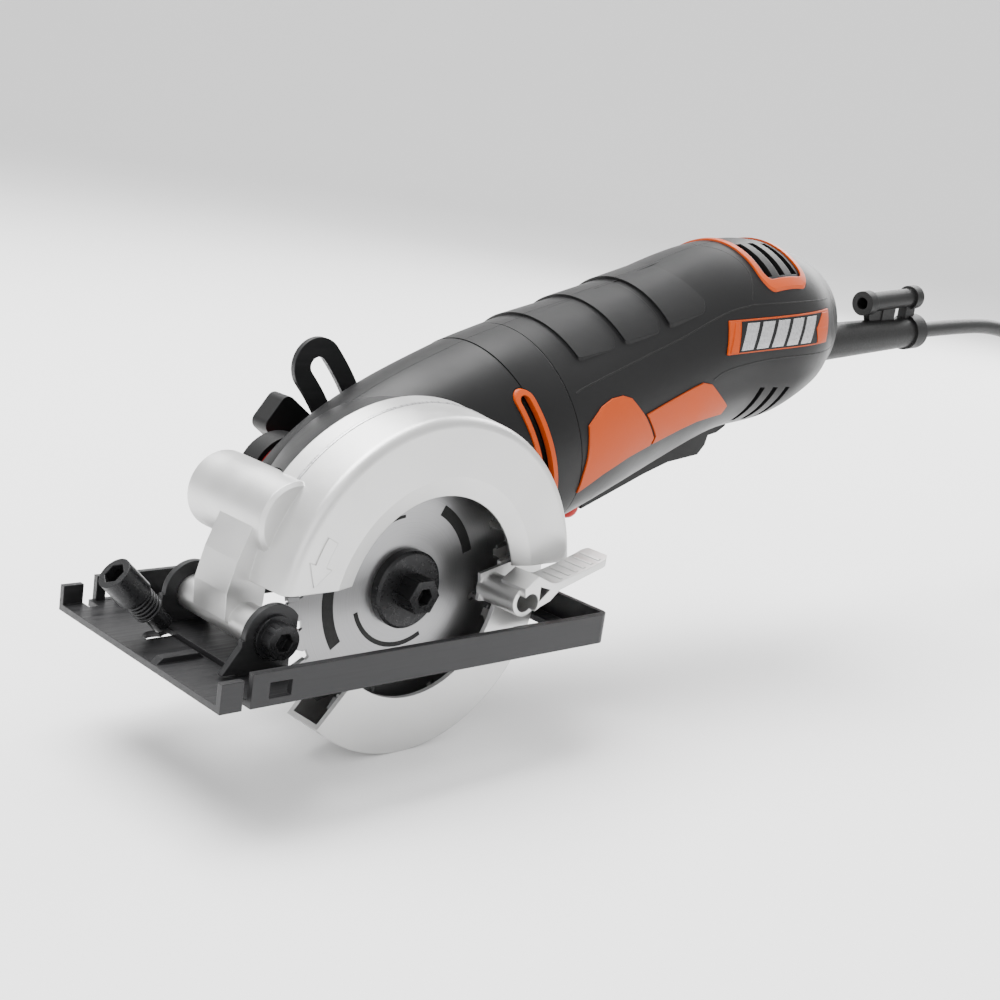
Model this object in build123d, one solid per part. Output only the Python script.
"""Compact plunge circular saw with an in-line barrel body, an 85 mm blade and a tilting depth base.

Design frame: the spindle axis is X = Z = 0 along Y, and the blade's middle plane is Y = 0.
+X runs back to the cord, +Y away from the blade side, +Z up, and the sole lies level.
The written parts are moved so that the lowest point stands on Z = 0 under the middle of the box.
"""

import os
from math import cos, degrees, hypot, pi, radians, sin, tan

from build123d import *

# ---- blade, spindle and gears -------------------------------------------------------------
BLADE_R = 42.5
BLADE_BODY = 1.2
BLADE_KERF = 1.7
TEETH = 24
GULLET_DEPTH = 5.5
ARBOR_R = 5.0
FLANGE_R = 12.2
FLANGE_T = 3.6
HEX_ACROSS = 10.0
HEX_LENGTH = 6.8
CUT_DEPTH = 27.0
GEAR_MODULE = 0.8
RING_TEETH = 28
PINION_TEETH = 8
FIT_GAP = 0.05

# ---- barrel body --------------------------------------------------------------------------
BODY_Y = 33.0
WALL = 2.6
GRIP_TILT = 20.0
REAR_TILT = 6.5
NOSE_FLOOR = -12.8
NOSE_SIDE_Y = 59.0
MOTOR_TILT = 26.0
PANEL_GAP = 0.3
# centre x, centre z, tilt of the section, half width, half height
BODY_SECTIONS = [
    (40, 29.5, 21, 33.5, 35.5),
    (58, 36.5, 20, 35, 36),
    (75, 42, 20, 35, 36),
    (100, 50.5, 20, 33, 35.5),
    (130, 61.3, 19, 31.5, 34.8),
    (160, 71.2, 14, 32, 35.3),
    (190, 75.7, 7, 33, 34.3),
    (203, 77.2, 6, 30.5, 30.8),
    (215, 77.4, 6, 24.3, 28),
    (226, 78.5, 6, 18.5, 22.5),
]
NOSE_SECTIONS = [
    (-19, -2, 48, 18, 17),
    (-9, 4, 41, 26, 29),
    (10, 14, 30, 31, 36),
    (30, 24, 24, 33, 37),
    (58, 36.5, 20, 35, 36),
]
LINE_A = (55.0, 37.0)
LINE_B = (68.0, 41.0)
BODY_CAVITY_END = (223, 78, 6, 15, 19.5)

# ---- rear body ----------------------------------------------------------------------------
RIB_BANDS = [(-21.0, -1.0), (1.5, 21.5), (23.5, 45.5)]
RIB_RISE = 0.9
RIB_HALF_WIDTH = 25.0
RIB_CORNER_R = 5.0
PAD_RISE = 0.6
PAD_DEPTH = 1.6
FRONT_PAD = [
    (70.5, 47.9), (77, 53.9), (82, 56.3), (87.6, 57.2), (91.4, 56.4), (99.4, 50.1), (107.8, 41.8),
    (107.3, 39), (96, 35.6), (83.4, 30.4), (72.6, 24.4), (71.6, 31), (71.6, 37.3),
]
REAR_PAD = [
    (100.4, 50.6), (124.6, 59.3), (130, 61), (134.7, 60.4), (142, 56), (149.9, 51.6), (149.3, 48.1),
    (142, 47.3), (133.7, 46.2), (124.4, 43.9), (108.6, 39.4), (108.9, 42.4),
]
LABEL = [(142.6, 82.6), (200.8, 88.7), (199.2, 76.4), (141.1, 70.8)]
SIDE_VENT_X = (168.0, 176.0, 184.0)
SIDE_VENT_WIDE = 3.0
SIDE_VENT_Z = (43.5, 58.5)
LOUVRE_S = (-18.5, -11.0, -3.5)
LOUVRE_ANGLES = (11.0, 42.0)
LOUVRE_WIDE = 3.4
RING_OUTER = (-24.0, 3.2, 27.0)
RING_BAND = 2.4
RING_CORNER_R = 6.0
SLOT_BAND = (-5.3, 1.7, -14.0, 23.5)
SLOT_FRAME = 1.7
# centre x, centre z, far-side depth of the head
HOUSING_SCREWS = [(84, 72, 50), (150, 86, 53), (205, 88, 52), (205, 62, 52)]
POST_R = 4.8
SCREW_R = 1.5
SCREW_HEAD_R = 3.0
SCREW_TIP_Y = 14.0

# ---- drive and spindle lock -----------------------------------------------------------------
CASE_R = 13.6
CASE_FAR_R = 12.4
CASE_BORE = 12.9
BEARING_R = 11.0
SMALL_BEARING_R = 9.5
REAR_BEARING_R = 8.0
MESH_S = RING_TEETH * GEAR_MODULE / 2
PINION_R = PINION_TEETH * GEAR_MODULE / 2
SHAFT_R = 3.0
STATOR_R = 23.5
STATOR_FLAT = 19.5
CORE_R = 12.6
FAN_R = 19.0
BRUSH = (4.0, 5.0)
LOCK_AT = (-6.0, 19.0)
LOCK_R = 12.8
LOCK_WALL = 1.8
GUARD_SCREWS = [(-27.0, 20.0), (-8.0, 38.0), (18.0, 34.0)]
GUARD_SCREW_R = 2.0
PIVOT_R = 3.0
NOSE_WALL_Y = 13.0
RAIL_CLEAR_Y = 51.2
RAIL_CLEAR_Z = -4.8

# ---- controls -----------------------------------------------------------------------------
PADDLE_SLOT = (101.6, 181.0, 23.0, 43.0)
PADDLE_HINGE = (104.5, 18.2)
PADDLE_PIN_R = 1.25
LOCKOFF_AT = (94.9, 26.0, 14.3)
LOCKOFF_R = 4.4
LOCKOFF_OUT = 3.0

# ---- upper guard --------------------------------------------------------------------------
FACE_Y = -16.5
FACE_T = 2.6
GUARD_R = 56.0
SKIRT_R = 57.6
SKIRT_REAR_Y = 5.0
WINDOW_R = 32.2
WINDOW_BEVEL_R = 38.3
BEVEL_DEPTH = 2.0
CAVITY_R = 51.0
BACK_PLATE_Y = 8.6
BACK_PLATE_T = 2.0
GUARD_CUT_Z = 8.0
OUTLET = (-45.5, 24.6)
OUTLET_R = 11.7
OUTLET_BORE_R = 10.0
OUTLET_Y = (-5.0, 32.0)
OUTLET_BORE_START = 1.4
PIVOT = (-56.5, -3.5)
BOSS_R = 5.4
BOSS_Y = (-12.6, 25.0)
ARM_Y = (-1.0, 15.0)

# ---- lower guard --------------------------------------------------------------------------
LOWER_R = 49.9
LOWER_RIM_R = 32.1
LOWER_T = 1.6
LOWER_FRONT_Y = -9.4
LOWER_REAR_Y = 7.0
LOWER_START = 228.0
LOWER_END = 374.0
HUB_R = 15.0
LEVER_TUBE = (27.0, 0.5)
LEVER_TUBE_R = 4.8
LEVER_BORE_R = 3.3
LEVER_END_Y = -26.0
PADDLE_Y = (-28.5, -17.8)

# ---- base ---------------------------------------------------------------------------------
SOLE_Z = CUT_DEPTH - BLADE_R
SHEET = 2.0
BASE_X = (-82.5, 62.0)
BASE_Y = (-30.6, 54.0)
BASE_TOP_Z = -5.9
OPEN_X = (-50.2, 38.0)
OPEN_Y = (-28.6, 46.0)
SLOT_X = (-76.2, -73.2)
BRACKET_R = 85.5
BRACKET_WIDTH = 19.0
BRACKET_Y = (60.2, 62.2)
BRACKET_SLOT = 6.2
DEPTH_TRAVEL = 30.0
SLOT_LOW_ANGLE = 13.0
CLAMP_AT = (-71.0, 22.0, -7.6)
CLAMP_TILT = 45.0

# ---- cord ---------------------------------------------------------------------------------
CORD_R = 3.5
SLEEVE_START = (226.0, 68.8)
SLEEVE_END = (314.0, 76.2)
SLEEVE_R = 8.0
SLEEVE_COLLAR = (80.5, 88.4, 7.8)
KEY_START = (269.5, 87.3)
KEY_END = (309.5, 91.4)
KEY_BORE_R = 2.6
KEY_TUBE_R = 4.1
KEY_RIM_R = 5.2
KEY_RIM = 5.0
KEY_POSTS = [(283.8, 293.3), (302.0, 309.0)]
STAND_Z = -LOWER_R
LEAD_ROUTE = [
    (294, 33, 74.52), (342, 33, 78.55), (392, 33, 80), (434, 31, 68), (462, 24, 38), (474, 14, 0),
    (477, -3, -33), (473, -26, STAND_Z + CORD_R), (472, -50, STAND_Z + CORD_R),
]
COIL_AT = (420.0, -50.0)
COIL_TURNS = [(52, 0), (45, 0), (38, 0), (31, 0), (31, 1), (38, 1), (45, 1)]
TAIL_ROUTE = [(420, -95, -39.4), (398, -95.5, -39.4), (374, -97, -40.6), (352, -97, -41.4)]
TIE_T = 1.2
PLUG_LENGTH = 42.0
PLUG_WIDE = 28.0
PLUG_HIGH = 17.0


def box(x0, x1, y0, y1, z0, z1):
    """Box between two corners."""
    solid = Box(x1 - x0, y1 - y0, z1 - z0)
    return Pos((x0 + x1) / 2, (y0 + y1) / 2, (z0 + z1) / 2) * solid


def rod_y(radius, y0, y1, x=0.0, z=0.0):
    """Cylinder along Y."""
    plane = Plane(origin=(x, y0, z), x_dir=(1, 0, 0), z_dir=(0, 1, 0))
    return extrude(plane * Circle(radius), y1 - y0)


def tube_y(outer, inner, y0, y1, x=0.0, z=0.0):
    """Hollow cylinder along Y."""
    return rod_y(outer, y0, y1, x, z) - rod_y(inner, y0 - 1, y1 + 1, x, z)


def rod_along(plane, radius, s0, s1):
    """Cylinder on a plane's normal between two distances from its origin."""
    return extrude(plane.offset(s0) * Circle(radius), s1 - s0)


def ring_along(plane, outer, inner, s0, s1):
    """Hollow cylinder on a plane's normal."""
    return rod_along(plane, outer, s0, s1) - rod_along(plane, inner, s0 - 1, s1 + 1)


def slab_xz(points, y0, y1):
    """Polygon in X and Z, pushed out along Y."""
    plane = Plane(origin=(0, y0, 0), x_dir=(1, 0, 0), z_dir=(0, -1, 0))
    return extrude(plane * Polygon(*points, align=None), y1 - y0, dir=(0, 1, 0))


def largest(shape):
    """Biggest solid of a shape, without slivers."""
    return max(shape.solids(), key=lambda solid: solid.volume)


def joined(solids):
    """Separate solids as one part."""
    whole = solids[0]
    for solid in solids[1:]:
        whole = whole + solid
    return whole


def polar(radius, angle):
    """Point in X and Z at an angle above +X."""
    return radius * cos(radians(angle)), radius * sin(radians(angle))


def sector_xz(inner, outer, start, end, y0, y1, centre=(0.0, 0.0)):
    """Ring sector about a Y axis, from one angle above +X to another."""
    cx, cz = centre
    middle = (start + end) / 2
    corners = [polar(outer, start), polar(outer, middle), polar(outer, end)]
    back = [polar(inner, end), polar(inner, middle), polar(inner, start)]
    plane = Plane(origin=(cx, y0, cz), x_dir=(1, 0, 0), z_dir=(0, -1, 0))
    rim = ThreePointArc(*corners)
    bore = ThreePointArc(*back)
    outline = [rim, Line(corners[2], back[0]), bore, Line(back[2], corners[0])]
    return extrude(plane * make_face(outline), y1 - y0, dir=(0, 1, 0))


def section_plane(x, z, tilt):
    """Plane across the barrel, its own up axis leaning back with the barrel."""
    lean = radians(tilt)
    return Plane(origin=(x, BODY_Y, z), x_dir=(0, 1, 0), z_dir=(cos(lean), 0, sin(lean)))


def barrel(sections, inset=0.0):
    """Loft through the barrel's sections, thinner by the inset all round."""
    rings = [
        section_plane(x, z, tilt) * Ellipse(wide - inset, high - inset)
        for x, z, tilt, wide, high in sections
    ]
    return loft(rings)


def cavity():
    """Hollow inside the rear body and the collar."""
    sections = [(x, z, tilt, wide - WALL, high - WALL) for x, z, tilt, wide, high in BODY_SECTIONS[:-1]]
    return barrel(sections + [BODY_CAVITY_END])


def guard_flare(inset=0.0):
    """Round shoulder of the nose, from the guard's rim back into the barrel."""
    discs = []
    for y, x, z, radius in [
        (SKIRT_REAR_Y + PANEL_GAP, 0, 0, SKIRT_R - 0.2),
        (20, 3, 4, 50),
        (36, 8, 10, 39),
        (52, 12, 12, 24),
    ]:
        plane = Plane(origin=(x, y, z), x_dir=(1, 0, 0), z_dir=(0, 1, 0))
        discs.append(plane * Circle(radius - inset))
    return loft(discs)


def behind(plane, size=400):
    """Half space on the positive side of a plane."""
    return extrude(plane * Rectangle(size, size), size)


GRIP_AXIS = section_plane(100, 50.5, GRIP_TILT)
REAR_AXIS = section_plane(190, 75, REAR_TILT)
LINE_A_PLANE = section_plane(*LINE_A, 21.0)
LINE_B_PLANE = section_plane(*LINE_B, 16.0)
MOTOR = section_plane(0.0, 0.0, MOTOR_TILT)
MOTOR_AXIS = Axis(MOTOR.origin, MOTOR.z_dir)
SLEEVE_RISE = degrees((SLEEVE_END[1] - SLEEVE_START[1]) / (SLEEVE_END[0] - SLEEVE_START[0]))
SLEEVE = section_plane(*SLEEVE_START, SLEEVE_RISE)
SPAN = 400.0
LEFT_HALF = box(-SPAN, SPAN, -SPAN, BODY_Y - 0.05, -SPAN, SPAN)
RIGHT_HALF = box(-SPAN, SPAN, BODY_Y + 0.05, SPAN, -SPAN, SPAN)


# ---- barrel shells ------------------------------------------------------------------------
def body_side(solid):
    """The same solid mirrored to the far side of the barrel's middle plane."""
    return mirror(solid, about=Plane(origin=(0, BODY_Y, 0), z_dir=(0, 1, 0)))


def skin(sections, rise, depth):
    """Layer that follows the barrel's surface, from a rise outside to a depth inside."""
    return barrel(sections, -rise) - barrel(sections, depth)


def from_above(axis, s0, s1, half_width, corner_r):
    """Round-cornered column over the barrel, seen along its own up axis."""
    plane = Plane(origin=axis.origin, x_dir=axis.z_dir, z_dir=axis.y_dir)
    outline = Pos((s0 + s1) / 2, 0) * RectangleRounded(s1 - s0, 2 * half_width, corner_r)
    return extrude(plane * outline, 60)


def wedge(axis, s0, s1, low, high, reach=60.0):
    """Wedge about the barrel's axis; angles run from its top towards the near side."""
    points = [(0, 0)]
    for k in range(5):
        angle = radians(low + (high - low) * k / 4)
        points.append((-reach * sin(angle), reach * cos(angle)))
    return extrude(axis.offset(s0) * Polygon(*points, align=None), s1 - s0, dir=axis.z_dir)


def grip_section(s, rise):
    """Section of the grip at a distance along its axis, raised all round."""
    x = GRIP_AXIS.origin.X + s * cos(radians(GRIP_TILT))
    low, high = next(pair for pair in zip(BODY_SECTIONS, BODY_SECTIONS[1:]) if pair[1][0] > x)
    part = (x - low[0]) / (high[0] - low[0])
    z, tilt, wide, tall = [a + (b - a) * part for a, b in zip(low[1:], high[1:])]
    return section_plane(x, z, tilt) * Ellipse(wide + rise, tall + rise)


def rib_pads():
    """Three finger ribs over the handle, each a step in front that runs out to the rear."""
    core = barrel(BODY_SECTIONS, 0.4)
    pads = []
    for start, end in RIB_BANDS:
        ramp = loft([grip_section(start, RIB_RISE), grip_section(end, 0.0)], ruled=True)
        band = from_above(GRIP_AXIS, start - 3, end, RIB_HALF_WIDTH, RIB_CORNER_R)
        pads.append((ramp & band) - core)
    return pads


def louvres():
    """Vent slots through the top of the rear body, on both sides of the seam."""
    low, high = LOUVRE_ANGLES
    half = LOUVRE_WIDE / 2
    near = [wedge(REAR_AXIS, s - half, s + half, low, high) for s in LOUVRE_S]
    return near + [body_side(cut) for cut in near]


def side_vents():
    """Upright slots low on each side of the rear body."""
    z0, z1 = SIDE_VENT_Z
    half = SIDE_VENT_WIDE / 2
    near = [box(x - half, x + half, -20, BODY_Y - 12, z0, z1) for x in SIDE_VENT_X]
    return near + [body_side(cut) for cut in near]


def ring_zone():
    """Round-cornered loop about the top vent field, closed low on each side."""
    s0, s1, half = RING_OUTER
    band = RING_BAND
    inner = from_above(REAR_AXIS, s0 + band, s1 - band, half - band, RING_CORNER_R - band)
    return from_above(REAR_AXIS, s0, s1, half, RING_CORNER_R) - inner


def housing_posts():
    """Posts for the housing screws, wall to wall across the seam."""
    return [rod_y(POST_R, -40, 100, x, z) for x, z, _ in HOUSING_SCREWS]


def housing_bores():
    """Holes for the housing screws, with a wide one for each head."""
    bores = []
    for x, z, head_y in HOUSING_SCREWS:
        bores.append(rod_y(SCREW_R, SCREW_TIP_Y, head_y + 1, x, z))
        bores.append(rod_y(SCREW_HEAD_R + 0.3, head_y, 100, x, z))
    return bores


def lockoff_axis():
    """Plane at the lock-off button, facing out of the grip."""
    lean = radians(GRIP_TILT)
    return Plane(origin=LOCKOFF_AT, z_dir=(sin(lean), 0, -cos(lean)))


def body_solid():
    """Rear body behind line B with its rear end closed, before it is split."""
    inside = cavity()
    shell = barrel(BODY_SECTIONS) - inside + rib_pads()
    for post in housing_posts():
        shell = shell + (post & inside)
    shell = shell & behind(LINE_B_PLANE.offset(PANEL_GAP / 2))
    trim = skin(BODY_SECTIONS, PAD_RISE + 0.4, PAD_DEPTH)
    for outline in (FRONT_PAD, REAR_PAD, LABEL):
        near = slab_xz(outline, -20, BODY_Y - 8)
        shell = shell - (trim & near) - (trim & body_side(near))
    shell = shell - (skin(BODY_SECTIONS, 2, PAD_DEPTH) & ring_zone())
    core = barrel(BODY_SECTIONS, WALL + 2.0)
    for cut in louvres() + side_vents():
        shell = shell - (cut - core)
    for bore in housing_bores():
        shell = shell - bore
    x0, x1, y0, y1 = PADDLE_SLOT
    shell = shell - box(x0, x1, y0, y1, -20, 46)
    shell = shell - rod_along(lockoff_axis(), LOCKOFF_R + FIT_GAP, -8, 10)
    shell = shell - rod_y(PADDLE_PIN_R, y0 - 2.4, y1 + 2.4, *PADDLE_HINGE)
    return shell - rod_along(SLEEVE, SLEEVE_R, -20, 20)


def body_shells():
    """Left and right halves of the rear body."""
    solid = body_solid()
    return largest(solid & LEFT_HALF), largest(solid & RIGHT_HALF)


def collar_halves():
    """Band between the nose cover and the grip, in two halves."""
    band = (barrel(BODY_SECTIONS) - cavity()) & behind(LINE_A_PLANE.offset(PANEL_GAP / 2))
    band = band - behind(LINE_B_PLANE.offset(-PANEL_GAP / 2))
    band = band - rod_y(SKIRT_R + 0.4, -30, SKIRT_REAR_Y + 0.4)
    band = band - (skin(BODY_SECTIONS, 3, 1.7) & slot_region(0.15)) - slot_region(hole=True)
    return largest(band & LEFT_HALF), largest(band & RIGHT_HALF)


def slot_region(grow=0.0, hole=False):
    """Round-ended band on the near side at line A where the framed vent slot sits."""
    s0, s1, low, high = SLOT_BAND
    edge = SLOT_FRAME if hole else -grow
    wide, tall = s1 - s0 - 2 * edge, high - low - 2 * edge
    across = LINE_A_PLANE
    plane = Plane(origin=across.origin, x_dir=across.z_dir, z_dir=(0, -1, 0))
    outline = Pos((s0 + s1) / 2, (low + high) / 2) * RectangleRounded(wide, tall, wide / 2 - 0.01)
    return extrude(plane * outline, 60)


def nose_outer(inset=0.0):
    """Gear head and its round shoulder."""
    flare = guard_flare(inset) - box(-100, 100, -10, 70, -100, GUARD_CUT_Z)
    return barrel(NOSE_SECTIONS, inset) + flare


def nose_covers():
    """Black covers over the gear case, in two halves."""
    back = BACK_PLATE_Y + BACK_PLATE_T
    outer = nose_outer() & box(-100, 100, -40, NOSE_SIDE_Y, NOSE_FLOOR, 120)
    outer = outer - box(-100, 100, RAIL_CLEAR_Y, 80, -60, RAIL_CLEAR_Z)
    inner = barrel([(x, z, t, w - WALL, h - WALL) for x, z, t, w, h in NOSE_SECTIONS])
    inner = inner & box(-100, 100, -40, NOSE_SIDE_Y - WALL, NOSE_FLOOR + 1.4, 120)
    inner = inner - box(-100, 100, RAIL_CLEAR_Y - WALL, 80, -60, RAIL_CLEAR_Z + WALL)
    inner = inner - rod_y(SKIRT_R + WALL + 0.4, -60, NOSE_WALL_Y)
    shell = outer - inner - behind(LINE_A_PLANE.offset(-PANEL_GAP / 2))
    shell = shell - rod_y(SKIRT_R - 3.3, -60, back) - rod_y(SKIRT_R + 0.4, -60, SKIRT_REAR_Y + 0.25)
    shell = shell - rod_y(OUTLET_R + 0.4, -10, 90, *OUTLET)
    shell = shell - box(-75, -45, -10, ARM_Y[1] + 0.4, -30, 26)
    shell = shell - gear_case_body()
    shell = shell - (skin(BODY_SECTIONS, 3, 1.7) & slot_region(0.15))
    shell = shell - slot_region(hole=True)
    shell = shell - rod_y(LOCK_R + LOCK_WALL, 40, 80, *LOCK_AT)
    shell = shell - rod_y(PIVOT_R - FIT_GAP, 40, 80, *clamp_hub())
    for x, z in GUARD_SCREWS:
        shell = shell - rod_y(GUARD_SCREW_R, back - 1, 30, x, z)
    return largest(shell & LEFT_HALF), largest(shell & RIGHT_HALF)


def slot_frame():
    """Orange frame of the curved vent slot."""
    layer = skin(BODY_SECTIONS, 0.7, 1.6) & (slot_region() - slot_region(hole=True))
    layer = layer - rod_y(SKIRT_R + 0.5, -40, SKIRT_REAR_Y + 0.4)
    return largest(layer)


def side_panel(outline):
    """Panel let into the side of the barrel."""
    layer = skin(BODY_SECTIONS, PAD_RISE, PAD_DEPTH)
    return largest(layer & slab_xz(outline, -20, BODY_Y - 8))


def vent_ring():
    """Orange loop round the top vents."""
    layer = skin(BODY_SECTIONS, 0.7, PAD_DEPTH)
    return largest(layer & ring_zone())


# ---- guards -------------------------------------------------------------------------------
def upper_guard():
    """Cast guard with its dust outlet, pivot arm and pivot boss."""
    back = BACK_PLATE_Y + BACK_PLATE_T
    edge = 3.0
    inside_y = FACE_Y + FACE_T
    outline = [
        Line((WINDOW_R, FACE_Y + BEVEL_DEPTH), (WINDOW_BEVEL_R, FACE_Y)),
        Line((WINDOW_BEVEL_R, FACE_Y), (GUARD_R - edge, FACE_Y)),
        ThreePointArc(
            (GUARD_R - edge, FACE_Y),
            (GUARD_R - edge + edge * sin(pi / 4), FACE_Y + edge - edge * cos(pi / 4)),
            (GUARD_R, FACE_Y + edge),
        ),
        Polyline(
            (GUARD_R, FACE_Y + edge), (SKIRT_R, SKIRT_REAR_Y), (SKIRT_R - 3.6, SKIRT_REAR_Y),
            (SKIRT_R - 3.6, back), (HUB_R + 2, back), (HUB_R + 2, BACK_PLATE_Y),
            (CAVITY_R, BACK_PLATE_Y), (CAVITY_R, inside_y), (WINDOW_R, inside_y),
            (WINDOW_R, FACE_Y + BEVEL_DEPTH),
        ),
    ]
    shell = revolve(make_face(outline), Axis.Y, 360)
    front_cut = box(-100, 100, -40, BACK_PLATE_Y - 0.01, -100, GUARD_CUT_Z)
    low_cut = box(-100, 100, BACK_PLATE_Y - 0.02, 40, -100, -2)
    corner_cut = box(-100, -30, 0, 40, -100, GUARD_CUT_Z) + box(30, 100, 0, 40, -100, GUARD_CUT_Z)
    shell = shell - front_cut - low_cut - corner_cut
    outlet = rod_y(OUTLET_R, *OUTLET_Y, *OUTLET)
    near_edge = outlet.edges().sort_by(Axis.Y)[0]
    outlet = chamfer(near_edge, 1.3, 1.0)
    arm = slab_xz(
        [(-46, 30), (-57, 24), (-61, 14), (-63.4, 5), (-63, -3), (-57, -6), (-51.6, -2), (-50, 6)],
        *ARM_Y,
    )
    boss = rod_y(BOSS_R, *BOSS_Y, *PIVOT)
    solid = shell + outlet + arm + boss
    cavity = rod_y(CAVITY_R, inside_y, BACK_PLATE_Y)
    solid = solid - cavity - rod_y(OUTLET_BORE_R, OUTLET_BORE_START, OUTLET_Y[1] + 1, *OUTLET)
    solid = solid - rod_y(PIVOT_R + FIT_GAP, -30, 40, *PIVOT)
    for x, z in GUARD_SCREWS:
        solid = solid - rod_y(GUARD_SCREW_R + 0.2, BACK_PLATE_Y - 1, back + 1, x, z)
        solid = solid - rod_y(GUARD_SCREW_R + 1.7, BACK_PLATE_Y - 1, BACK_PLATE_Y + 1.3, x, z)
    return largest(solid)


def lower_guard():
    """Sprung channel-shaped guard that turns about the gear case nose."""
    front = (LOWER_FRONT_Y, LOWER_FRONT_Y + LOWER_T)
    rear = (LOWER_REAR_Y - LOWER_T, LOWER_REAR_Y)
    start, end = LOWER_START, LOWER_END
    rim = sector_xz(LOWER_R - LOWER_T, LOWER_R, start + 2, end, front[0], rear[1])
    face = sector_xz(LOWER_RIM_R, LOWER_R - 0.01, start, end, *front)
    back = sector_xz(HUB_R + 2, LOWER_R - 0.01, start + 2, end, *rear)
    hub = tube_y(HUB_R + 3.2, HUB_R + FIT_GAP, rear[0], LOWER_REAR_Y + 1.2)
    body = rim + face + back + hub
    return body - rod_y(HUB_R + FIT_GAP, rear[0] - 1, LOWER_REAR_Y + 3)


def guard_lever():
    """Finger lever on a hollow stud that stands out through the guard's window."""
    x, z = LEVER_TUBE
    stud = rod_y(LEVER_TUBE_R, LEVER_END_Y, LOWER_FRONT_Y, x, z)
    foot = sector_xz(LOWER_RIM_R - 9.5, LOWER_RIM_R + 6, -9, 13, LOWER_FRONT_Y - 1.4, LOWER_FRONT_Y)
    near, far = PADDLE_Y
    blade = slab_xz(
        [(x - 3, z + 5), (29.3, 9), (35, 6.5), (37.7, 6.2), (47, 8.4), (55.6, 10.9), (59.8, 12.6), (60.4, 10),
         (49.6, 6.9), (39.1, 3.8), (35.4, 0.6), (31.4, -0.8), (x + 1, -2.6), (x - 2, z)],
        near, far,
    )
    width = far - near
    plan = Plane.XY.offset(-10) * Pos(60.5 - 50, near + width / 2) * RectangleRounded(100, width, 3.5)
    blade = blade & extrude(plan, 40)
    pocket = slab_xz([(30.5, 5.6), (34.8, 4.3), (30.6, 0.9)], near - 1, far - 2.2)
    solid = stud + foot + blade - pocket
    return solid - rod_y(LEVER_BORE_R, LEVER_END_Y - 5, LOWER_FRONT_Y - 3, x, z)


# ---- blade and its fixings ------------------------------------------------------------------
def saw_blade():
    """Tungsten-tipped blade: gullets, expansion slots and tip seats cut from a disc."""
    half = BLADE_BODY / 2
    root = BLADE_R - GULLET_DEPTH
    disc = rod_y(root, -half, half)
    tooth = [
        polar(root - 1.5, -2.0), polar(BLADE_R - 0.4, 0.6), polar(BLADE_R - 0.1, 4.6),
        polar(root + 1.2, 9.4), polar(root - 1.5, 9.0),
    ]
    one = slab_xz(tooth, -half, half)
    disc = disc + [one.rotate(Axis.Y, i * 360 / TEETH) for i in range(TEETH)]
    slot = slab_xz([polar(30, 1), polar(BLADE_R, 1.3), polar(BLADE_R, -1.3), polar(30, -1)], -2, 2)
    hole = rod_y(1.4, -2, 2, *polar(30, 0))
    for k in range(4):
        turn = k * 90 + 12.0
        disc = disc - (slot + hole).rotate(Axis.Y, turn)
    return disc - rod_y(ARBOR_R + FIT_GAP, -2, 2)


def blade_tips():
    """Carbide tips, one on the face of each tooth."""
    half = BLADE_KERF / 2
    tip = slab_xz(
        [polar(BLADE_R - 4.2, -1.9), polar(BLADE_R, -1.9), polar(BLADE_R - 0.3, 0.1), polar(BLADE_R - 4.0, 0.1)],
        -half, half,
    )
    slit = slab_xz(
        [polar(BLADE_R - 6, -0.5), polar(BLADE_R + 1, -0.5), polar(BLADE_R + 1, 3), polar(BLADE_R - 6, 3)],
        -BLADE_BODY / 2, BLADE_BODY / 2,
    )
    one = tip - slit
    return [one.rotate(Axis.Y, i * 360 / TEETH) for i in range(TEETH)]


def blade():
    """Blade with its tips, one solid."""
    solid = saw_blade()
    for tip in blade_tips():
        solid = solid + tip
    return largest(solid)


# ---- drive inside the barrel ----------------------------------------------------------------

def on_motor(radius, s0, s1):
    """Cylinder on the motor axis, measured from the spindle's axis."""
    return rod_along(MOTOR, radius, s0, s1)


def ring_on_motor(outer, inner, s0, s1):
    """Hollow cylinder on the motor axis."""
    return ring_along(MOTOR, outer, inner, s0, s1)


def spindle():
    """Output spindle with the shoulder that backs the inner flange."""
    shaft = rod_y(ARBOR_R, -1.0, 49.0) + rod_y(7.5, 3.0, 9.0)
    return shaft - rod_y(2.6, -2, 16)


def ring_gear():
    """Crown gear pressed on the spindle, teeth facing the pinion."""
    face_y = BODY_Y - PINION_R - 0.7
    disc = tube_y(MESH_S + 1.0, ARBOR_R, face_y - 5.0, face_y)
    tooth = slab_xz([(MESH_S - 2.6, -0.28), (MESH_S + 0.9, -0.45), (MESH_S + 0.9, 0.45), (MESH_S - 2.6, 0.28)],
                    face_y - 0.2, face_y + 1.15)
    start = -MOTOR_TILT + 180 / RING_TEETH
    teeth = [tooth.rotate(Axis.Y, start + i * 360 / RING_TEETH) for i in range(RING_TEETH)]
    return disc + teeth


def pinion():
    """Small bevel pinion on the end of the armature shaft."""
    s0, s1 = MESH_S - 2.4, MESH_S + 1.6
    root = PINION_R - 0.75
    body = on_motor(root, s0, s1)
    tooth = [(-0.42, root - 0.3), (-0.22, PINION_R + 0.45), (0.22, PINION_R + 0.45), (0.42, root - 0.3)]
    plane = MOTOR.offset(s0)
    one = extrude(plane * Rot(0, 0, 90) * Polygon(*tooth, align=None), s1 - s0, dir=MOTOR.z_dir)
    teeth = [one.rotate(MOTOR_AXIS, i * 360 / PINION_TEETH) for i in range(PINION_TEETH)]
    return body + teeth - on_motor(1.5, s0 - 1, s1 + 1)


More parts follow.
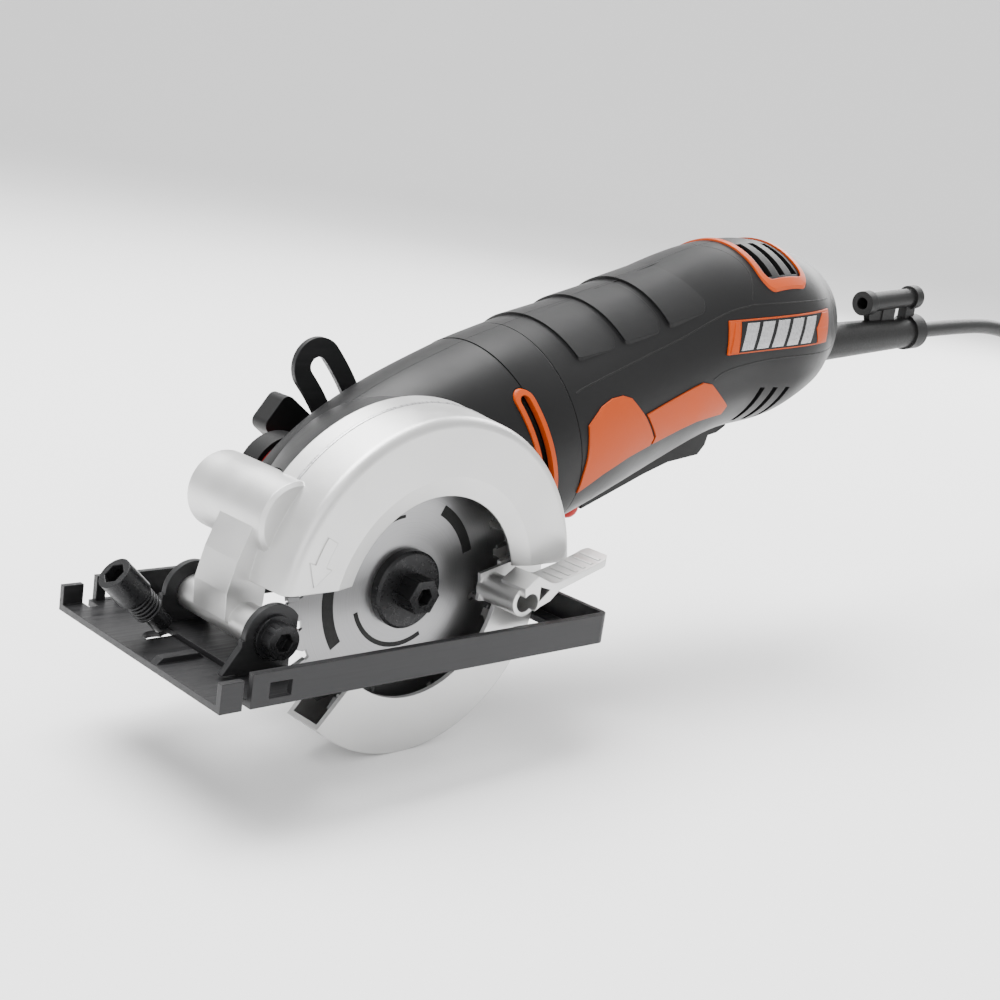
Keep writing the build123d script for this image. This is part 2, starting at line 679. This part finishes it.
def armature():
    """Armature shaft with its laminated core and end windings."""
    shaft = on_motor(SHAFT_R, MESH_S + 1.7, 137) + on_motor(1.45, MESH_S - 2.2, MESH_S + 1.7)
    core = on_motor(CORE_R, 58, 98) + on_motor(10.5, 52, 58) + on_motor(10.5, 98, 106)
    return shaft + core


def fan():
    """Cooling fan: a hub, a back disc and straight blades."""
    hub = ring_on_motor(6, SHAFT_R, 36, 45) + ring_on_motor(FAN_R, SHAFT_R, 36, 37.4)
    vane = extrude(MOTOR.offset(37.2) * Pos(12, 0) * Rectangle(13, 1.2), 6.5)
    return hub + [vane.rotate(MOTOR_AXIS, i * 30) for i in range(12)]


def commutator():
    """Segmented commutator."""
    drum = ring_on_motor(9, SHAFT_R, 109, 121)
    groove = extrude(MOTOR.offset(108) * Pos(9, 0) * Rectangle(1.2, 0.5), 14)
    return drum - [groove.rotate(MOTOR_AXIS, i * 15) for i in range(24)]


def stator():
    """Field stack with two windings."""
    stack = ring_on_motor(STATOR_R, CORE_R + 0.8, 58, 98)
    width = 20
    for side in (-1, 1):
        offset = side * (STATOR_FLAT + width / 2)
        stack = stack - extrude(MOTOR.offset(50) * Pos(offset, 0) * Rectangle(width, 80), 60)
    front = ring_on_motor(FAN_R, CORE_R + 1.6, 50, 58)
    rear = ring_on_motor(FAN_R, CORE_R + 1.6, 98, 105)
    return stack + front + rear


def motor_carrier(s0):
    """Rib across the barrel that centres the field stack."""
    plate = extrude(MOTOR.offset(s0) * Rectangle(120, 120), 3) & cavity()
    plate = plate - stator() - on_motor(CORE_R + 1, s0 - 1, s0 + 4)
    for angle in range(20, 380, 40):
        slot = MOTOR.offset(s0 - 1) * Rot(0, 0, angle) * Pos(27, 0) * Rectangle(3, 9)
        plate = plate - extrude(slot, 5)
    return largest(plate)


def gear_case_body():
    """Outside of the gear case: nose, cup, motor neck and screw arms."""
    solid = rod_y(HUB_R, 3.4, 19) + rod_y(CASE_R, 18, 40) + rod_y(CASE_FAR_R, 39, 50)
    solid = solid + on_motor(14.5, 8, 31)
    for x, z in GUARD_SCREWS:
        reach = hypot(x, z)
        plane = Plane(origin=(0, 14, 0), x_dir=(x / reach, 0, z / reach), z_dir=(0, 1, 0))
        arm = extrude(plane * Pos(reach / 2, 0) * Rectangle(reach, 6), 5)
        solid = solid + arm + rod_y(4.4, NOSE_WALL_Y, 21, x, z)
    return solid


def gear_case():
    """Metal case that carries the spindle bearings and the front motor bearing."""
    solid = gear_case_body()
    solid = solid - rod_y(BEARING_R, 10.5, 17.2) - rod_y(SMALL_BEARING_R, 2, 11)
    solid = solid - rod_y(CASE_BORE, 17, 40) - rod_y(SMALL_BEARING_R, 39, 52)
    solid = solid - on_motor(9.0, 0, 21.5) - on_motor(BEARING_R, 21, 32)
    for x, z in GUARD_SCREWS:
        solid = solid - rod_y(GUARD_SCREW_R, 10, 22, x, z)
    return largest(solid)


def motor_bearings():
    """Ball bearings at both ends of the armature shaft."""
    bore = SHAFT_R + FIT_GAP
    return ring_on_motor(BEARING_R, bore, 22, 29) + ring_on_motor(REAR_BEARING_R, bore, 130, 137)


def spindle_bearings():
    """Ball bearings at both ends of the spindle."""
    bore = ARBOR_R + FIT_GAP
    return tube_y(BEARING_R, bore, 11, 17) + tube_y(SMALL_BEARING_R, bore, 42, 48)


def rear_motor_mount():
    """Bearing cup and spokes that centre the rear end of the motor."""
    inside = cavity()
    solid = on_motor(11.5, 128, 137.5)
    for angle in (45, 135, 225, 315):
        arm = extrude(MOTOR.offset(129) * Rot(0, 0, angle) * Pos(25, 0) * Rectangle(40, 4), 5)
        solid = solid + (arm & inside)
    return largest(solid - on_motor(REAR_BEARING_R, 120, 140))


def brush_parts(side):
    """Brush holder from the shell to the commutator, and the carbon brush in it."""
    wide, deep = BRUSH
    case = extrude(MOTOR.offset(111) * Pos(side * 25, 0) * Rectangle(30, 7.5), 8.5) & cavity()
    slot = extrude(MOTOR.offset(112.7) * Pos(side * 16, 0) * Rectangle(16, wide), deep)
    brush = extrude(MOTOR.offset(112.7) * Pos(side * 14.6, 0) * Rectangle(10.6, wide), deep)
    return largest(case - slot), brush


# ---- base ---------------------------------------------------------------------------------
def base_plate():
    """Folded sheet sole: front plate, blade-side rail, rear and far walls."""
    x0, x1 = BASE_X
    y0, y1 = BASE_Y
    floor = box(x0, x1, y0, y1, SOLE_Z, SOLE_Z + SHEET)
    rail = box(-74, x1, y0, y0 + SHEET, SOLE_Z, BASE_TOP_Z)
    back = box(x1 - SHEET, x1, y0, y1, SOLE_Z, BASE_TOP_Z)
    far = box(-72, x1, y1 - SHEET, y1, SOLE_Z, BASE_TOP_Z)
    near_tab = box(x0, SLOT_X[0] + 0.4, y0, y0 + SHEET, SOLE_Z, -7.3)
    far_tab = box(x0, SLOT_X[0], y1 - SHEET, y1, SOLE_Z, -7.8)
    plate = floor + rail + back + far + near_tab + far_tab
    opening = box(*OPEN_X, *OPEN_Y, SOLE_Z - 1, SOLE_Z + SHEET + 0.01)
    slots = box(*SLOT_X, y1 - SHEET - 4, y1 + 1, SOLE_Z - 1, 0) + box(
        SLOT_X[0] + 0.4, SLOT_X[1], y0 - 1, y0 + SHEET + 4, SOLE_Z - 1, 0)
    windows = box(-67.7, -60.6, y0 - 1, y0 + 3, -13.4, -9.0) + box(-69, -64.5, y1 - 3, y1 + 1, -13.4, -9)
    notch = extrude(
        Plane.XY.offset(SOLE_Z - 1) * Polygon((-83, 9), (-79.2, 7.5), (-74, 1.2), (-74, -1.2), (-79.2, -5),
                                              (-83, -6.5), align=None), 5)
    drain = Pos(-69.5, 19.3, SOLE_Z + 1) * Cylinder(5.0, 6)
    drain = drain & box(-76, -60, 19.0, 30, SOLE_Z - 2, 0)
    plate = plate - opening - slots - windows - notch
    plate = plate - box(30, 53.5, -12.5, 10.5, SOLE_Z - 1, SOLE_Z + SHEET + 0.01)
    corners = [
        edge for edge in plate.edges().filter_by(Axis.Z)
        if edge.length > 9 and edge.center().X > x1 - 0.1
    ]
    plate = fillet(corners, 3.5)
    lean = radians(CLAMP_TILT)
    tab_plane = Plane(origin=CLAMP_AT, x_dir=(0, 1, 0), z_dir=(-sin(lean), 0, cos(lean)))
    tab = extrude(tab_plane.offset(-1.2) * Pos(0, -2) * Rectangle(10.5, 16), 2.4)
    tab = tab & box(-90, -50, 0, 50, SOLE_Z + 0.5, 20)
    rib = slab_xz([(-82, -13.6), (-80, -11.9), (-69, -11.9), (-67, -13.6)], 1.0, 4.0)
    plate = plate + tab + rib
    return largest(plate - rod_along(clamp_axis(), PIVOT_R + FIT_GAP, -12, 8) - drain)


def pivot_bracket():
    """U bracket welded to the sole that carries the guard's pivot boss."""
    px, pz = PIVOT
    near = (BOSS_Y[0] - 2.3, BOSS_Y[0] - 0.2)
    far = (BOSS_Y[1] + 0.2, BOSS_Y[1] + 2.3)
    top = SOLE_Z + SHEET
    web = box(-66.5, -51.0, near[0], far[1], top, top + 1.6)
    ears = []
    for y0, y1 in (near, far):
        ears.append(rod_y(9.2, y0, y1, px, pz) & box(-80, -49, -40, 60, top, 20))
        ears.append(box(-66.5, -50.5, y0, y1, top, pz))
    gusset = slab_xz([(-66.5, top + 1), (-72, top + 1), (-66.0, pz - 1)], near[0], near[1])
    return web + ears + gusset - rod_y(PIVOT_R, -60, 60, px, pz)


def pivot_bolt():
    """Socket-head bolt through the pivot bracket."""
    px, pz = PIVOT
    near = BOSS_Y[0] - 2.3
    shank = rod_y(PIVOT_R, near, BOSS_Y[1] + 8.3, px, pz)
    head = rod_y(4.9, near - 5.0, near, px, pz) + rod_y(6.4, near - 1.2, near, px, pz)
    socket = Plane(origin=(px, near - 5.1, pz), x_dir=(1, 0, 0), z_dir=(0, 1, 0))
    head = head - extrude(socket * RegularPolygon(2.5, 6, major_radius=False), 2.8)
    return shank + head


def pivot_nut():
    """Hexagon nut on the far end of the pivot bolt."""
    px, pz = PIVOT
    plane = Plane(origin=(px, BOSS_Y[1] + 2.3, pz), x_dir=(1, 0, 0), z_dir=(0, 1, 0))
    nut = extrude(plane * RegularPolygon(5.0, 6, major_radius=False), 5.0)
    return nut - rod_y(PIVOT_R, 0, 60, px, pz)


def clamp_hub():
    """Where the depth clamp's screw crosses the slot, in X and Z."""
    x, z = polar(BRACKET_R, SLOT_LOW_ANGLE)
    return PIVOT[0] + x, PIVOT[1] + z


def depth_bracket():
    """Slotted arc that stands on the base's far wall and is clamped for depth."""
    half = BRACKET_WIDTH / 2
    slot = BRACKET_SLOT / 2
    top = SLOT_LOW_ANGLE + DEPTH_TRAVEL
    body = sector_xz(BRACKET_R - half, BRACKET_R + half, 3.0, top, *BRACKET_Y, centre=PIVOT)
    body = body + rod_y(half, *BRACKET_Y, *(p + q for p, q in zip(PIVOT, polar(BRACKET_R, top))))
    hole = sector_xz(BRACKET_R - slot, BRACKET_R + slot, SLOT_LOW_ANGLE, top, 50, 70, centre=PIVOT)
    for angle in (SLOT_LOW_ANGLE, top):
        hole = hole + rod_y(slot, 50, 70, *(p + q for p, q in zip(PIVOT, polar(BRACKET_R, angle))))
    foot = box(20, 37, BASE_Y[1], BRACKET_Y[1], -8.0, -6.0)
    stem = box(20, 37, *BRACKET_Y, -8.0, 4.0)
    flange = box(20, 37, BASE_Y[1], BASE_Y[1] + 1.8, -13.0, -6.0)
    return body + foot + stem + flange - hole


def depth_lever():
    """Clamp lever with a finger-grip end."""
    hx, hz = clamp_hub()
    reach = 39.0
    angle = radians(143.5)
    hub = rod_y(8.5, 62.4, 74.0, hx, hz)
    plane = Plane(origin=(hx, 66.0, hz), x_dir=(cos(angle), 0, sin(angle)), z_dir=(0, 1, 0))
    arm = extrude(plane * Pos(reach / 2, 0) * Rectangle(reach - 4, 10), 6.0)
    pad = extrude(plane * Pos(reach - 9, 0) * RectangleRounded(19, 14, 3), 8.0)
    return hub + arm + pad - rod_y(PIVOT_R, 60, 71, hx, hz)


def depth_screw():
    """Clamp screw from the nose cover out through the slot to the lever."""
    hx, hz = clamp_hub()
    screw = rod_y(PIVOT_R - FIT_GAP, NOSE_SIDE_Y - WALL, 70.9, hx, hz)
    return screw + rod_y(6.0, NOSE_SIDE_Y, BRACKET_Y[0] - 0.1, hx, hz)


def clamp_axis():
    """Plane at the guide clamp's tab, facing up its bolt."""
    lean = radians(CLAMP_TILT)
    return Plane(origin=CLAMP_AT, z_dir=(-sin(lean), 0, cos(lean)))


def clamp_bolt():
    """Socket-head bolt that clamps a guide bar."""
    axis = clamp_axis()
    head_at = 9.0
    shank = rod_along(axis, PIVOT_R, -4.6, head_at)
    head = rod_along(axis, 5.0, head_at, head_at + 10.0)
    socket = extrude(axis.offset(head_at + 5.5) * RegularPolygon(2.9, 6, major_radius=False), 6)
    return shank + head - socket


def clamp_spring():
    """Spring under the clamp bolt's head, as a sleeve of its outer size."""
    return ring_along(clamp_axis(), 4.4, PIVOT_R + 0.3, 1.2, 8.9)


# ---- controls -----------------------------------------------------------------------------

def paddle_switch():
    """Long finger paddle under the grip."""
    outline = [
        (101.8, 10.4), (102.4, 15.6), (106, 20.4), (122, 24), (146, 33), (166, 40), (174, 42.3),
        (177.6, 41.2), (177, 38.6), (172.5, 36.2), (167.5, 35.2), (166.5, 31.5), (163, 27.8),
        (146, 25.6), (133, 21.6), (118, 16.2),
    ]
    y0, y1 = PADDLE_SLOT[2] + 1, PADDLE_SLOT[3] - 1
    solid = slab_xz(outline, y0, y1) + rod_y(2.6, y0, y1, *PADDLE_HINGE)
    return solid - rod_y(PADDLE_PIN_R + FIT_GAP, y0 - 1, y1 + 1, *PADDLE_HINGE)


def paddle_pin():
    """Hinge pin of the paddle."""
    return rod_y(PADDLE_PIN_R, PADDLE_SLOT[2] - 2.4, PADDLE_SLOT[3] + 2.4, *PADDLE_HINGE)


def lockoff_button():
    """Round-nosed lock-off button in front of the paddle."""
    axis = lockoff_axis()
    dome = Pos(*(axis.origin + axis.z_dir * LOCKOFF_OUT)) * Sphere(LOCKOFF_R)
    return rod_along(axis, LOCKOFF_R, -1.4, LOCKOFF_OUT) + dome


def spindle_lock():
    """Red cap and stem of the spindle lock."""
    cap = rod_y(LOCK_R - FIT_GAP, 53.6, 64.6, *LOCK_AT)
    cap = fillet(cap.edges().sort_by(Axis.Y)[-1], 1.0)
    return cap + rod_y(3.0, 45, 54, *LOCK_AT)


def lock_collar():
    """Round collar on the nose cover that guides the spindle lock's cap."""
    return tube_y(LOCK_R + LOCK_WALL, LOCK_R, 54.0, 62.0, *LOCK_AT)


# ---- fixings and small parts inside -------------------------------------------------------------
def housing_screw(x, z, head_y):
    """Pan-head screw across the seam, from the far side."""
    screw = rod_y(SCREW_R, SCREW_TIP_Y, head_y + 1, x, z)
    head = rod_y(SCREW_HEAD_R, head_y, head_y + 2.2, x, z)
    slot = box(x - 4, x + 4, head_y + 1.2, head_y + 3, z - 0.4, z + 0.4)
    return screw + head - slot


def guard_screw(x, z):
    """Flush screw from the guard's back plate into the gear case."""
    head_y = BACK_PLATE_Y + 0.05
    head = rod_y(GUARD_SCREW_R + 1.65, head_y, BACK_PLATE_Y + 1.3, x, z)
    return head + rod_y(GUARD_SCREW_R, head_y, 20.9, x, z)


def inner_flange():
    """Clamping flange between the blade and the spindle's shoulder."""
    return tube_y(FLANGE_R, ARBOR_R, BLADE_BODY / 2, 3.0)


def outer_flange():
    """Clamping flange on the open side of the blade."""
    front = -BLADE_BODY / 2 - FLANGE_T
    disc = rod_y(FLANGE_R, front, -BLADE_BODY / 2)
    disc = chamfer(disc.edges().sort_by(Axis.Y)[0], 0.8)
    return disc - rod_y(ARBOR_R, -1.0, 0) - rod_y(2.6, -9, 0)


def arbor_bolt():
    """Hexagon bolt with a hexagon socket that holds the blade on."""
    front = -BLADE_BODY / 2 - FLANGE_T
    plane = Plane(origin=(0, front - HEX_LENGTH, 0), x_dir=(1, 0, 0), z_dir=(0, 1, 0))
    head = extrude(plane * RegularPolygon(HEX_ACROSS / 2, 6, major_radius=False), HEX_LENGTH)
    socket = extrude(plane * RegularPolygon(2.5, 6, major_radius=False), 4.0)
    return head - socket + rod_y(2.6, front - 1, 14)


def switch_block():
    """Trigger switch on a shelf across the body."""
    shelf = box(150, 178, -10, 80, 48.5, 50.5) & cavity()
    return shelf + box(152, 176, 22, 44, 50, 66)


# ---- cord end -------------------------------------------------------------------------------
def cable_sleeve():
    """Rubber sleeve with an end collar where the cord comes out."""
    s0, s1, collar = SLEEVE_COLLAR
    cone = loft([SLEEVE.offset(1) * Circle(SLEEVE_R), SLEEVE.offset(s0) * Circle(6.8)])
    root = rod_along(SLEEVE, SLEEVE_R, -9, 1) + rod_along(SLEEVE, 9.6, -9, -6.5)
    solid = root + cone + rod_along(SLEEVE, collar, s0, s1)
    return solid - rod_along(SLEEVE, CORD_R, 56, s1 + 1)


def key_clip():
    """Open tube on two posts that holds the hex key."""
    (x0, z0), (x1, z1) = KEY_START, KEY_END
    rise = degrees((z1 - z0) / (x1 - x0))
    axis = section_plane(x0, z0, rise)
    length = hypot(x1 - x0, z1 - z0)
    solid = rod_along(axis, KEY_TUBE_R, 0, length) + rod_along(axis, KEY_RIM_R, 0, KEY_RIM)
    solid = solid + rod_along(axis, KEY_RIM_R, length - KEY_RIM, length)
    for post in KEY_POSTS:
        solid = solid + box(*post, BODY_Y - 2, BODY_Y + 2, 74, 90)
    solid = solid + slab_xz([(272, 86), (285, 88), (285, 74), (279, 74)], BODY_Y - 1.5, BODY_Y + 1.5)
    solid = solid - cable_sleeve() - on_sleeve_line(CORD_R + 1)
    return largest(solid - rod_along(axis, KEY_BORE_R, -1, length + 1))


def on_sleeve_line(radius):
    """Cylinder on the sleeve's axis, past both of its ends."""
    return rod_along(SLEEVE, radius, -20, 90)


def cord_path(route):
    """Straight runs joined by arcs as large as the runs allow, with its radii."""
    points = [Vector(*p) for p in route]
    radii = []
    for a, b, c in zip(points, points[1:], points[2:]):
        turn = (b - a).get_angle(c - b)
        shorter = min((b - a).length, (c - b).length)
        radii.append(0.45 * shorter / tan(radians(turn / 2)))
    return FilletPolyline(*points, radius=radii), radii


def cord_tube(name, route):
    """Tube along a route; its radii and its volume against section times length are printed."""
    path, radii = cord_path(route)
    section = Plane(origin=path @ 0, z_dir=path % 0) * Circle(CORD_R)
    tube = sweep(section, path)
    ratio = tube.volume / (pi * CORD_R ** 2 * path.length)
    print(name, "radii", [round(r) for r in radii], "length", round(path.length), "volume ratio", round(ratio, 3))
    return tube


def cord_coil():
    """Outer shape of the coil of spare cord, lying where the saw stands."""
    cx, cy = COIL_AT
    pitch = 2 * CORD_R
    solid = None
    for layer in sorted({layer for _, layer in COIL_TURNS}):
        radii = [radius for radius, at in COIL_TURNS if at == layer]
        z = STAND_Z + layer * pitch + CORD_R
        outer = Pos(cx, cy, z) * Cylinder(max(radii) + CORD_R, pitch)
        ring = outer - Pos(cx, cy, z) * Cylinder(min(radii) - CORD_R, pitch + 1)
        solid = ring if solid is None else solid + ring
    return solid


def coil_tie():
    """Strap over the coil."""
    cx, cy = COIL_AT
    inner = min(radius for radius, _ in COIL_TURNS) - CORD_R - TIE_T
    strap = None
    for layer in (0, 1):
        outer = max(radius for radius, at in COIL_TURNS if at == layer) + CORD_R + TIE_T
        top = STAND_Z + (layer + 1) * 2 * CORD_R + TIE_T
        block = box(cx - 6, cx + 6, cy + inner, cy + outer, STAND_Z, top)
        strap = block if strap is None else strap + block
    return largest(strap - cord_coil())


def plug_axis():
    """Plane at the back of the plug, facing towards its pins."""
    end = Vector(*TAIL_ROUTE[-1])
    before = Vector(*TAIL_ROUTE[-2])
    heading = Vector(end.X - before.X, end.Y - before.Y, 0).normalized()
    return Plane(origin=end, x_dir=(-heading.Y, heading.X, 0), z_dir=heading)


def plug_body():
    """Moulded two-pin mains plug."""
    plane = plug_axis()
    neck = loft([plane.offset(-0.5) * Circle(4.6), plane.offset(14) * Circle(6.0)])
    block = extrude(plane.offset(12) * RectangleRounded(PLUG_WIDE, PLUG_HIGH - 0.2, 5), PLUG_LENGTH - 12)
    return neck + block - rod_along(plane, CORD_R, -2, 0)


def plug_pins():
    """Two round pins of the plug."""
    plane = plug_axis().offset(PLUG_LENGTH)
    return joined([extrude(plane * Pos(side * 9.5, 0) * Circle(2.4), 19) for side in (-1, 1)])


# ---- all parts ------------------------------------------------------------------------------
def housing_parts():
    """Shells, covers and what is let into them."""
    parts = {}
    parts["nose_cover_left"], parts["nose_cover_right"] = nose_covers()
    parts["collar_left"], parts["collar_right"] = collar_halves()
    parts["body_shell_left"], parts["body_shell_right"] = body_shells()
    parts["slot_frame"] = slot_frame()
    panels = {"front_pads": FRONT_PAD, "rear_pads": REAR_PAD, "label_plates": LABEL}
    for name, outline in panels.items():
        panel = side_panel(outline)
        parts[name] = panel + body_side(panel)
    parts["vent_ring"] = vent_ring()
    parts["housing_screws"] = joined([housing_screw(*place) for place in HOUSING_SCREWS])
    parts["cable_sleeve"] = cable_sleeve()
    parts["key_clip"] = key_clip()
    parts["lock_collar"] = lock_collar()
    parts["switch_block"] = switch_block()
    return parts


def drive_parts():
    """Motor, gears, bearings and spindle."""
    parts = {
        "gear_case": gear_case(),
        "stator": stator(),
        "motor_carriers": motor_carrier(70) + motor_carrier(82),
        "rear_motor_mount": rear_motor_mount(),
        "motor_bearings": motor_bearings(),
        "spindle_bearings": spindle_bearings(),
        "armature": armature(),
        "fan": fan(),
        "commutator": commutator(),
        "pinion": pinion(),
        "spindle": spindle(),
        "ring_gear": ring_gear(),
        "inner_flange": inner_flange(),
        "blade": blade(),
        "outer_flange": outer_flange(),
        "arbor_bolt": arbor_bolt(),
    }
    left_holder, left_brush = brush_parts(-1)
    right_holder, right_brush = brush_parts(1)
    parts["brush_holders"] = left_holder + right_holder
    parts["carbon_brushes"] = left_brush + right_brush
    return parts


def guard_parts():
    """Upper and lower guard with their fixings."""
    parts = {
        "upper_guard": upper_guard(),
        "retaining_ring": tube_y(HUB_R + 3, HUB_R, 3.9, 5.2),
        "guard_spring": tube_y(HUB_R + 1.9, HUB_R, 8.5, 10.5),
        "lower_guard": lower_guard(),
        "guard_lever": guard_lever(),
        "guard_screws": joined([guard_screw(*place) for place in GUARD_SCREWS]),
    }
    return parts


def base_parts():
    """Base with its pivot, depth setting and guide clamp."""
    return {
        "base_plate": base_plate(),
        "pivot_bracket": pivot_bracket(),
        "pivot_bolt": pivot_bolt(),
        "pivot_nut": pivot_nut(),
        "depth_bracket": depth_bracket(),
        "depth_screw": depth_screw(),
        "depth_lever": depth_lever(),
        "clamp_bolt": clamp_bolt(),
        "clamp_spring": clamp_spring(),
    }


def control_parts():
    """Switch paddle, lock-off button and spindle lock."""
    return {
        "paddle_switch": paddle_switch(),
        "paddle_pin": paddle_pin(),
        "lockoff_button": lockoff_button(),
        "spindle_lock": spindle_lock(),
    }


def cord_parts():
    """Cord, coil, tie and plug."""
    return {
        "cord_lead": cord_tube("cord_lead", LEAD_ROUTE),
        "cord_coil": cord_coil(),
        "coil_tie": coil_tie(),
        "cord_tail": cord_tube("cord_tail", TAIL_ROUTE),
        "plug_body": plug_body(),
        "plug_pins": plug_pins(),
    }


def main():
    """Builds every part, stands the saw on Z = 0 and writes one file for each part."""
    os.makedirs("parts", exist_ok=True)
    saw = {}
    for group in (housing_parts, drive_parts, guard_parts, base_parts, control_parts):
        saw.update(group())
    boxes = [part.bounding_box() for part in saw.values()]
    low = [min(getattr(b.min, axis) for b in boxes) for axis in "XYZ"]
    high = [max(getattr(b.max, axis) for b in boxes) for axis in "XYZ"]
    shift = Pos(-(low[0] + high[0]) / 2, -(low[1] + high[1]) / 2, -low[2])
    print("saw from", low, "to", high)
    for name, part in {**saw, **cord_parts()}.items():
        export_step(shift * part, "parts/%s.step" % name)


main()
